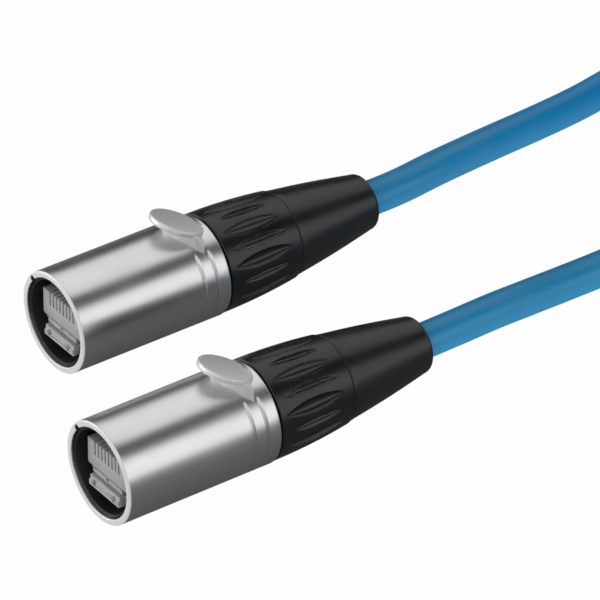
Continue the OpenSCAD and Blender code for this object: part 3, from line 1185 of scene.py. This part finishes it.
class Finish(Enum):
    """Every finish on the object, by the name that its pieces use."""

    NICKEL = NickelFinish()
    RIM = RimHighlightFinish()
    TAB = TabHighlightFinish()
    LINER = MouldedFinish("liner_finish", rgb(0.012, 0.012, 0.012), rgb(0.018, 0.018, 0.018),
                          0.42, 0.55, 9000.0, 0.00001)
    CHUCK = MouldedFinish("chuck_finish", rgb(0.010, 0.010, 0.010), rgb(0.016, 0.016, 0.016),
                          0.40, 0.52, 8000.0, 0.00001)
    BUSHING = MouldedFinish("bushing_finish", rgb(0.007, 0.007, 0.007), rgb(0.010, 0.010, 0.010),
                            0.27, 0.33, 11000.0, 0.000006, 0.55, 0.25)
    BOOT = MouldedFinish("boot_finish", rgb(0.010, 0.010, 0.010), rgb(0.014, 0.014, 0.014),
                         0.30, 0.37, 9000.0, 0.000006, 0.55, 0.25)
    CLEAR = ClearFinish()
    GUIDE = MouldedFinish("guide_finish", rgb(0.62, 0.62, 0.60), rgb(0.70, 0.70, 0.68),
                          0.30, 0.42, 6000.0, 0.00002)
    GOLD = GoldFinish()
    JACKET = JacketFinish()
    WEB = StrapFinish("strap_web", rgb(0.010, 0.010, 0.011), rgb(0.030, 0.030, 0.032), 0.0)
    PILE = StrapFinish("strap_pile", rgb(0.014, 0.014, 0.015), rgb(0.050, 0.050, 0.053), 1.0)
    THREAD = MouldedFinish("strap_thread", rgb(0.030, 0.030, 0.032), rgb(0.060, 0.060, 0.062),
                           0.50, 0.70, 5000.0, 0.00004)
    WHITE_ORANGE = WireFinish("wire_white_orange", rgb(0.80, 0.25, 0.03), True)
    ORANGE = WireFinish("wire_orange", rgb(0.80, 0.25, 0.03), False)
    WHITE_GREEN = WireFinish("wire_white_green", rgb(0.03, 0.35, 0.08), True)
    BLUE = WireFinish("wire_blue", rgb(0.02, 0.10, 0.50), False)
    WHITE_BLUE = WireFinish("wire_white_blue", rgb(0.02, 0.10, 0.50), True)
    GREEN = WireFinish("wire_green", rgb(0.03, 0.35, 0.08), False)
    WHITE_BROWN = WireFinish("wire_white_brown", rgb(0.16, 0.06, 0.02), True)
    BROWN = WireFinish("wire_brown", rgb(0.16, 0.06, 0.02), False)

    def material(self) -> bpy.types.Material:
        """Returns this finish's material, made the first time that it is asked for."""
        found = bpy.data.materials.get(self.value.name)
        return found if found is not None else self.value.make()


def dress(piece: bpy.types.Object, finish: Finish) -> None:
    """Gives a piece one finish in place of whatever it has."""
    piece.data.materials.clear()
    piece.data.materials.append(finish.material())


# --------------------------------------------------------------------------- one connector


@dataclass
class Connector:
    """One end of the cable: shell, plug, bushing and boot, in millimetres from the rim."""

    side: Side
    shell_r: float = 9.5
    bore_r: float = 8.35
    shell_len: float = 31.5
    rim_round: float = 0.28
    rear_round: float = 0.45
    key_angle: float = -47.0
    key_w: float = 1.3
    key_depth: float = 0.85
    key_len: float = 6.0
    groove_xs: tuple[float, float] = (28.7, 26.0)
    groove_w: float = 0.40
    groove_depth: float = 0.42
    tab_x: float = 26.4
    tab_z: float = 11.2
    tab_r: float = 5.0
    tab_t: float = 1.1
    tab_slope: float = 24.0
    foot_len: float = 3.8
    foot_half: float = 6.4
    bushing_front: float = 31.8
    bushing_r: float = 9.35
    seam_x: float = 47.8
    seam_r: float = 8.3
    spigot_r: float = 8.28
    spigot_len: float = 4.8
    flutes: int = 18
    flute_len: float = 12.4
    flute_x: float = 39.3
    boot_end: float = 67.0
    boot_r: float = 8.1
    boot_end_r: float = 5.1
    hole_r: float = 3.35
    keel_half: float = 4.4

    def __post_init__(self) -> None:
        """Finds where the connector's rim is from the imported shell."""
        low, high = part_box(f"shell_{self.side.value}")
        self.origin = Vector((low[0], (low[1] + high[1]) / 2, self.shell_r * MM))

    def named(self, word: str) -> str:
        """Returns a piece's or a node's name on this side."""
        return f"{word}_{self.side.value}"

    def settle(self, piece: bpy.types.Object, node: str, body: str,
               finish: Finish | None) -> bpy.types.Object:
        """Moves a finished piece's mesh to this connector and hands it to the frame.

        Args:
            piece: The piece, built round the connector's axis.
            node: The CAD node that it replaces, without its side letter.
            body: The body that it rides on.
            finish: Its finish, or None if it has its finishes already.

        Returns:
            The piece.
        """
        piece.data.transform(Matrix.Translation(self.origin))
        if finish is not None:
            dress(piece, finish)
        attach(piece, body)
        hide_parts(self.named(node))
        LOG.info("%s replaces %s", piece.name, self.named(node))
        return piece

    # ----- the shell

    def shell_relief(self, along: float, radius: float, angle: float) -> float:
        """Returns the shell's radius with its two fading finger grooves cut in.

        Args:
            along: Distance from the rim.
            radius: The profile's radius.
            angle: Degrees from up, towards -Y.
        """
        if radius < self.shell_r - 0.01:
            return radius
        fade = smooth((54.0 - abs(angle - 90.0)) / 14.0)
        depth = 0.0
        for groove in self.groove_xs:
            across = abs(along - groove) / self.groove_w
            if across < 1:
                depth += self.groove_depth * fade * (1 - across)
        return radius - depth

    def build_shell(self) -> bpy.types.Object:
        """Makes the plated shell with its tab, keyway and grooves.

        Returns:
            The shell.
        """
        rim, rear = self.rim_round, self.rear_round
        outer = self.shell_r
        profile = [(0.0, self.bore_r + 0.12)]
        profile += arc((rim, outer - rim), rim, 180, 90)
        profile += spaced(profile[-1], (24.8, outer), 3.0)
        profile += spaced((24.8, outer), (29.9, outer), 0.09)
        profile += arc((self.shell_len - rear, outer - rear), rear, 90, 0)
        profile += [(self.shell_len, self.bore_r + 0.2), (self.shell_len - 0.2, self.bore_r)]
        profile += spaced(profile[-1], (0.12, self.bore_r), 4.0)
        profile.append((0.12, self.bore_r))
        shell = put(lathe("shell", profile, 240, self.shell_relief), self.named("shell_plate"))
        return shade(combined(combined(shell, [self.build_tab()], "UNION"),
                              [self.key_cutter(), self.bore_cutter()], "DIFFERENCE"), 28.0)

    def bore_cutter(self) -> bpy.types.Object:
        """Makes the cutter that keeps the shell's bore open below the tab's foot."""
        profile = [(5.0, 0.0001), (5.0, self.bore_r - 0.004), (self.shell_len + 2, self.bore_r - 0.004),
                   (self.shell_len + 2, 0.0001)]
        return put(lathe("bore_cutter", profile, 96), "bore_cutter")

    def key_cutter(self) -> bpy.types.Object:
        """Makes the round-bottomed cutter for the keyway notch in the rim."""
        half = self.key_w / 2
        bottom = self.bore_r + self.key_depth - half
        outline = [(-half, self.bore_r - 1.0)]
        outline += [(half * math.cos(math.radians(a)), bottom + half * math.sin(math.radians(a)))
                    for a in range(180, -1, -20)]
        outline.append((half, self.bore_r - 1.0))
        turn = math.radians(self.key_angle)

        def place(across: float, out: float, depth: float) -> Point:
            return (depth, -(out * math.sin(turn) + across * math.cos(turn)),
                    out * math.cos(turn) - across * math.sin(turn))

        return put(prism("key_cutter", outline, -1.0, self.key_len, place), "key_cutter")

    def build_tab(self) -> bpy.types.Object:
        """Makes the thumb tab: a sloping oval pad on a solid foot.

        Returns:
            The tab, cast in one with the shell later.
        """
        slope = math.radians(self.tab_slope)
        pad_outline = [(self.tab_r * math.cos(math.radians(a)), self.tab_r * math.sin(math.radians(a)))
                       for a in range(0, 360, 4)]

        def on_pad(u: float, v: float, depth: float) -> Point:
            return (self.tab_x + u * math.cos(slope) + depth * math.sin(slope), v,
                    self.tab_z - u * math.sin(slope) + depth * math.cos(slope))

        pad = put(prism("pad", pad_outline, -self.tab_t, 0.0, on_pad), "pad")
        bevelled(pad, 0.30, 4, 40.0)
        back = self.tab_x + 1.4
        front = back - self.foot_len
        outline = [(front, 0.8), (front + 0.5, 2.2), (front + self.foot_len * 0.72, self.foot_half * 0.84),
                   (back, self.foot_half)]
        outline += [(x, -y) for x, y in outline[::-1]]
        foot = put(prism("foot", outline, 5.0, self.tab_z + self.tab_r,
                         lambda x, y, z: (x, y, z)), "foot")
        over = put(prism("over", [(-12, -12), (12, -12), (12, 12), (-12, 12)], -self.tab_t / 2, 12.0,
                         on_pad), "over")
        combined(foot, [over], "DIFFERENCE")
        bevelled(foot, 0.18, 3, 25.0)
        return combined(pad, [foot], "UNION")

    # ----- the bushing and boot

    def flute_depth(self, along: float, angle: float) -> float:
        """Returns how deep the grip flutes are at a place on the bushing.

        Args:
            along: Distance from the rim.
            angle: Degrees from up, towards -Y.
        """
        period = 360.0 / self.flutes
        index = round((angle - 9.0) / period)
        offset = angle - 9.0 - index * period
        deep = index % 2 == 1
        half_w, depth = (1.30, 0.85) if deep else (0.80, 0.40)
        length = self.flute_len if deep else self.flute_len * 0.92
        share = abs(along - self.flute_x) / (length / 2)
        if share >= 1:
            return 0.0
        half_here = half_w * (1 - share ** 2) ** 0.8
        across = math.radians(offset) * 8.9 / half_here
        if abs(across) >= 1:
            return 0.0
        if not deep:
            ridge = max(0.0, 1 - abs(across) / 0.45)
            return depth * (1 - share ** 2) * (1 - across ** 2) * (1 - 0.85 * ridge)
        return depth * (1 - share ** 2) ** 0.7 * (1 - abs(across) ** 2.4)

    def barrel_relief(self, along: float, radius: float, angle: float) -> float:
        """Returns the bushing's radius with its flutes cut in."""
        if radius < self.spigot_r + 0.01 or along < self.bushing_front:
            return radius
        return radius - self.flute_depth(along, angle)

    def barrel_r(self, along: float) -> float:
        """Returns the bushing's swelling outside radius at a distance from the rim."""
        share = (along - self.bushing_front) / (self.seam_x - self.bushing_front)
        return self.bushing_r - (self.bushing_r - self.seam_r) * share ** 2

    def build_bushing(self) -> bpy.types.Object:
        """Makes the fluted bushing with its threaded spigot.

        Returns:
            The bushing.
        """
        front, seam = self.bushing_front, self.seam_x
        spigot_front = front - self.spigot_len
        inner = 6.8
        profile = [(spigot_front, inner), (spigot_front, self.spigot_r - 0.45)]
        pitch, crest = 1.5, self.spigot_r
        turn_x = spigot_front + 0.4
        while turn_x + pitch < front - 0.4:
            profile += [(turn_x, crest - 0.45), (turn_x + 0.35, crest), (turn_x + 0.75, crest),
                        (turn_x + 1.1, crest - 0.45)]
            turn_x += pitch
        profile += [(front, crest - 0.3)]
        profile += arc((front + 0.25, self.bushing_r - 0.25), 0.25, 180, 90, 4)
        steps = 62
        start = front + 0.3
        for i in range(steps + 1):
            along = start + (seam - 0.25 - start) * i / steps
            profile.append((along, self.barrel_r(along)))
        profile += arc((seam - 0.25, self.seam_r - 0.22), 0.22, 80, 0, 4)
        profile += [(seam, 6.0), (seam - 3.4, 6.0), (seam - 3.4, 4.9), (43.3, 4.9), (front, inner)]
        mesh = lathe("bushing", profile, 540, self.barrel_relief)
        return shade(put(mesh, self.named("bushing_barrel")), 24.0)

    def build_boot(self) -> bpy.types.Object:
        """Makes the smooth tapering boot behind the bushing.

        Returns:
            The boot.
        """
        seam, end, edge = self.seam_x, self.boot_end, 1.15
        slope = (self.boot_r - self.boot_end_r) / (end - seam)
        profile = [(seam - 3.35, self.hole_r), (seam - 3.35, 5.95), (seam + 0.02, 5.95)]
        profile += arc((seam + 0.27, self.boot_r - 0.25), 0.25, 180, 95, 4)
        steps = 14
        for i in range(1, steps + 1):
            along = seam + 0.4 + (end - edge - seam - 0.4) * i / steps
            swell = 0.16 * math.sin(math.pi * i / steps)
            profile.append((along, self.boot_r - slope * (along - seam) + swell))
        profile += arc((end - edge, profile[-1][1] - edge), edge, 84, 0, 7)
        profile += arc((end - 0.25, self.hole_r + 0.25), 0.25, 0, -90, 3)
        mesh = lathe("boot", profile, 192)
        return shade(put(mesh, self.named("boot_sleeve")), 40.0)

    # ----- the plug

    def build_plug(self) -> bpy.types.Object:
        """Makes the clear plug with its contact slots and wire cavity.

        Returns:
            The plug's body.
        """
        half = 5.84
        front, back, top, base = 1.8, 23.2, 3.7, -1.6
        outline = [(-half, base + 0.35), (-half + 0.35, base), (half - 0.35, base),
                   (half, base + 0.35), (half, top), (-half, top)]
        body = put(prism("plug", outline, front, back, lambda y, z, x: (x, y, z)), "plug")
        keel = put(block("keel", (front, -self.keel_half, -2.8),
                         (back, self.keel_half, base + 0.4)), "keel")
        combined(body, [keel], "UNION")
        ring = [(2.6 * math.cos(math.radians(a)), 2.6 * math.sin(math.radians(a)))
                for a in range(5, 365, 10)]
        rear_room = put(prism("rear_room", ring, 15.1, back + 2, lambda y, z, x: (x, y, z)),
                        "rear_room")
        bevelled(combined(body, [rear_room], "DIFFERENCE"), 0.16, 2, 30.0)
        cutters = []
        for i in range(8):
            y = (i - 3.5) * 1.016
            cutters.append(put(block("slot", (front - 1, y - 0.21, 1.0), (8.3, y + 0.21, top + 1)),
                               "slot"))
        cutters.append(put(block("cavity", (3.95, -4.47, -0.7), (back + 1, 4.47, 1.72)), "cavity"))
        cutters.append(put(block("chin", (front - 1, -0.5, -2.3), (front + 0.8, 0.5, -1.9)), "chin"))
        combined(body, cutters, "DIFFERENCE")
        body.name = self.named("plug_shell")
        return shade(body, 25.0)

    def build_latch(self) -> bpy.types.Object:
        """Makes the latch lever with its wide nose and stepped edges.

        Returns:
            The latch.
        """
        top, front, half = -3.1, 1.0, 4.4
        back, low = front + 2.6, top - 2.1
        nose = [(front + 0.3, top), (front + 0.3, top - 0.75), (front, top - 0.95),
                (front, low + 0.2), (front + 0.2, low), (back, low), (back, top)]
        wide = put(prism("nose", nose, -half, half, lambda x, z, y: (x, y, z)), "nose")
        arm_profile = [(back - 0.4, top), (back - 0.4, top - 0.95), (front + 14.4, top - 3.1),
                       (front + 14.4, top - 2.2), (back, top)]
        arm = put(prism("arm", arm_profile, -1.6, 1.6, lambda x, z, y: (x, y, z)), "arm")
        combined(wide, [arm], "UNION")
        cutters = [put(block("window", (front - 1, y - 0.45, low + 0.45),
                             (front + 0.6, y + 0.45, top - 0.6)), "window") for y in (-2.9, 2.9)]
        cutters.append(put(block("line", (front - 1, -half + 0.5, top - 1.28),
                                 (front + 0.22, half - 0.5, top - 1.16)), "line"))
        combined(wide, cutters, "DIFFERENCE")
        wide.name = self.named("latch_lever")
        return shade(bevelled(wide, 0.10, 2, 30.0), 30.0)

    def build_insert(self) -> bpy.types.Object:
        """Makes the black liner with the carrier block that holds the plug.

        Returns:
            The insert.
        """
        outer, mouth, setback, floor, end = 8.30, 7.70, 0.6, 13.0, 23.6
        profile = [(setback, mouth + 0.08), (setback, outer - 0.08), (setback + 0.08, outer),
                   (end, outer), (end, 0.0005), (floor, 0.0005), (floor, mouth - 0.3),
                   (floor - 0.3, mouth), (setback + 0.08, mouth)]
        body = put(lathe("insert", profile, 160), self.named("insert_liner"))
        cutters = [put(block("pocket", (0.2, -5.89, -1.65), (end + 1, 5.89, 3.75)), "pocket"),
                   put(block("keel_way", (0.2, -self.keel_half - 0.05, -2.85),
                             (end + 1, self.keel_half + 0.05, -1.0)), "keel_way"),
                   put(block("latch_way", (0.2, -2.5, -7.2), (17.0, 2.5, -2.8)), "latch_way")]
        return shade(combined(body, cutters, "DIFFERENCE"), 30.0)

    def build_wires(self) -> bpy.types.Object:
        """Makes the eight conductors, from the plug to the ring where they enter the jacket.

        Returns:
            The conductors, as one object with a finish for each.
        """
        build = bmesh.new()
        sides, radius, start, bend, end = 14, 0.38, 4.0, 14.4, 26.5
        for i in range(8):
            y = (i - 3.5) * 1.016
            turn = math.radians(157.5 - (i // 2) * 45)
            side = 1 if i % 2 == 0 else -1
            goal = (2.1 * math.cos(turn), side * 2.1 * math.sin(turn))
            spots = [start + (bend - start) * k / 3 for k in range(3)]
            spots += [bend + (end - bend) * k / 16 for k in range(17)]
            line = []
            for x in spots:
                share = max(0.0, (x - bend) / (end - bend))
                share = share * share * (3 - 2 * share)
                line.append(mm(x, y + (goal[0] - y) * share, 0.51 + (goal[1] - 0.51) * share))

            def ring(k: int, line: list[Vector] = line) -> list[Vector]:
                ahead = (line[min(k + 1, len(line) - 1)] - line[max(k - 1, 0)]).normalized()
                across = ahead.cross(Vector((0, 0, 1))).normalized()
                up = across.cross(ahead)
                return [line[k] + (across * math.cos(a) + up * math.sin(a)) * radius * MM
                        for a in (2 * math.pi * j / sides for j in range(sides))]

            sweep(build, line, ring, False, i)
        bmesh.ops.recalc_face_normals(build, faces=build.faces)
        mesh = bpy.data.meshes.new("wires")
        build.to_mesh(mesh)
        build.free()
        wires = put(mesh, self.named("wires"))
        for finish in (Finish.WHITE_ORANGE, Finish.ORANGE, Finish.WHITE_GREEN, Finish.BLUE,
                       Finish.WHITE_BLUE, Finish.GREEN, Finish.WHITE_BROWN, Finish.BROWN):
            mesh.materials.append(finish.material())
        return shade(wires, 60.0)

    def dress_nodes(self) -> None:
        """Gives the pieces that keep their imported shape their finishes."""
        for word, finish in (("plug_contacts", Finish.GOLD), ("load_bar", Finish.GUIDE),
                             ("cable_chuck", Finish.CHUCK)):
            node = bpy.data.objects[self.named(word)]
            dress(node, finish)
            LOG.info("%s keeps its shape", node.name)

    def build(self) -> None:
        """Builds the whole connector."""
        bushing_body = self.named("bushing")
        shell = self.settle(self.build_shell(), "shell", "cable", Finish.NICKEL)
        # Slot 1, the rim face, takes a finish painted pale as a highlight.
        shell.data.materials.append(Finish.RIM.material())
        # Slot 2, the thumb tab, takes a finish painted paler as a highlight.
        shell.data.materials.append(Finish.TAB.material())
        for face in shell.data.polygons:
            if face.center.x < self.origin.x + self.rim_round * MM * 0.9:
                face.material_index = 1
            elif (face.center - self.origin).yz.length > (self.shell_r + 0.05) * MM:
                face.material_index = 2
        self.settle(self.build_bushing(), "bushing", bushing_body,
                    Finish.BUSHING)
        self.settle(self.build_boot(), "cable_boot", bushing_body, Finish.BOOT)
        self.settle(self.build_plug(), "plug_body", "cable", Finish.CLEAR)
        self.settle(self.build_latch(), "plug_latch", self.named("plug_latch"),
                    Finish.CLEAR)
        self.settle(self.build_insert(), "insert", "cable", Finish.LINER)
        self.settle(self.build_wires(), "conductors", "cable", None)
        self.dress_nodes()


@dataclass
class Strap:
    """The hook-and-loop strap round the hank, in millimetres."""

    low_x: float = 152.85
    high_x: float = 172.85
    low_y: float = -17.85
    high_y: float = 43.85
    high_z: float = 42.5
    thick: float = 1.5
    corner: float = 4.6
    tongue_y: tuple[float, float] = (-6.0, 25.0)
    tongue_t: float = 1.3

    def loop(self, inset: float) -> list[tuple[float, float]]:
        """Returns the strap's closed line in Y and Z, in from its outside by a distance.

        Args:
            inset: The distance inwards.
        """
        radius = self.corner - inset
        corners = ((self.high_y - self.corner, self.high_z - self.corner, 0),
                   (self.low_y + self.corner, self.high_z - self.corner, 90),
                   (self.low_y + self.corner, self.corner, 180),
                   (self.high_y - self.corner, self.corner, 270))
        points = []
        for y, z, start in corners:
            for k in range(13):
                a = math.radians(start + 90 * k / 12)
                points.append((y + radius * math.cos(a), z + radius * math.sin(a)))
        return points

    def build_band(self) -> bpy.types.Object:
        """Makes the band that runs all the way round the turns."""
        outer, inner = self.loop(0.0), self.loop(self.thick)
        edge = 0.25
        build = bmesh.new()

        def ring(k: int) -> list[Vector]:
            (oy, oz), (iy, iz) = outer[k], inner[k]
            corners = []
            for x, share in ((self.low_x, 0.2), (self.low_x, 0.8), (self.low_x + edge, 1.0),
                             (self.high_x - edge, 1.0), (self.high_x, 0.8), (self.high_x, 0.2),
                             (self.high_x - edge, 0.0), (self.low_x + edge, 0.0)):
                corners.append(mm(x, iy + (oy - iy) * share, iz + (oz - iz) * share))
            return corners

        sweep(build, [Vector()] * len(outer), ring, True)
        bmesh.ops.recalc_face_normals(build, faces=build.faces)
        mesh = bpy.data.meshes.new("strap")
        build.to_mesh(mesh)
        build.free()
        return put(mesh, "strap_band")

    def build_tongue(self) -> bpy.types.Object:
        """Makes the overlapping end that lies on top, with a round tip."""
        low, high = self.tongue_y
        half = (self.high_x - self.low_x) / 2 - 0.4
        mid = (self.low_x + self.high_x) / 2
        outline = [(mid - half, low), (mid + half, low)]
        outline += [(mid + half * math.cos(math.radians(a)),
                     high + 0.7 * half * math.sin(math.radians(a))) for a in range(0, 181, 9)]
        tongue = put(prism("tongue", outline, self.high_z - 0.02, self.high_z + self.tongue_t,
                           lambda x, y, z: (x, y, z)), "strap_tongue")
        return bevelled(tongue, 0.3, 3, 40.0)

    def build_stitches(self) -> bpy.types.Object:
        """Makes the row of stitches across the tongue."""
        pieces = []
        top = self.high_z + self.tongue_t
        for row in (2.0, 4.0):
            for k in range(9):
                x = self.low_x + 2.4 + k * 1.9
                y = self.tongue_y[0] + row
                pieces.append(bevelled(put(block("stitch", (x - 0.6, y - 0.18, top - 0.1),
                                                 (x + 0.6, y + 0.18, top + 0.16)), "stitch"),
                                       0.12, 2))
        return joined("strap_stitches", pieces)

    def build(self) -> None:
        """Builds the strap's pieces and hands them to the frame."""
        for piece, finish in ((self.build_band(), Finish.WEB), (self.build_tongue(), Finish.PILE),
                              (self.build_stitches(), Finish.THREAD)):
            shade(piece, 50.0)
            dress(piece, finish)
            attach(piece, "cable")
            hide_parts("hank_tie")
            LOG.info("%s lies round the hank", piece.name)


def main() -> None:
    """Builds the camera, the cable, the connectors and the studio, in that order."""
    logging.basicConfig(level=logging.INFO, format="%(name)s: %(message)s")
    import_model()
    bpy.context.scene.view_settings.view_transform = "Standard"
    studio = Studio()
    studio.place_camera()
    Cable().build()
    for side in Side:
        Connector(side).build()
    Strap().build()
    studio.light()
    studio.fill_world()
    studio.lay_floor()


if __name__ == "__main__":
    main()
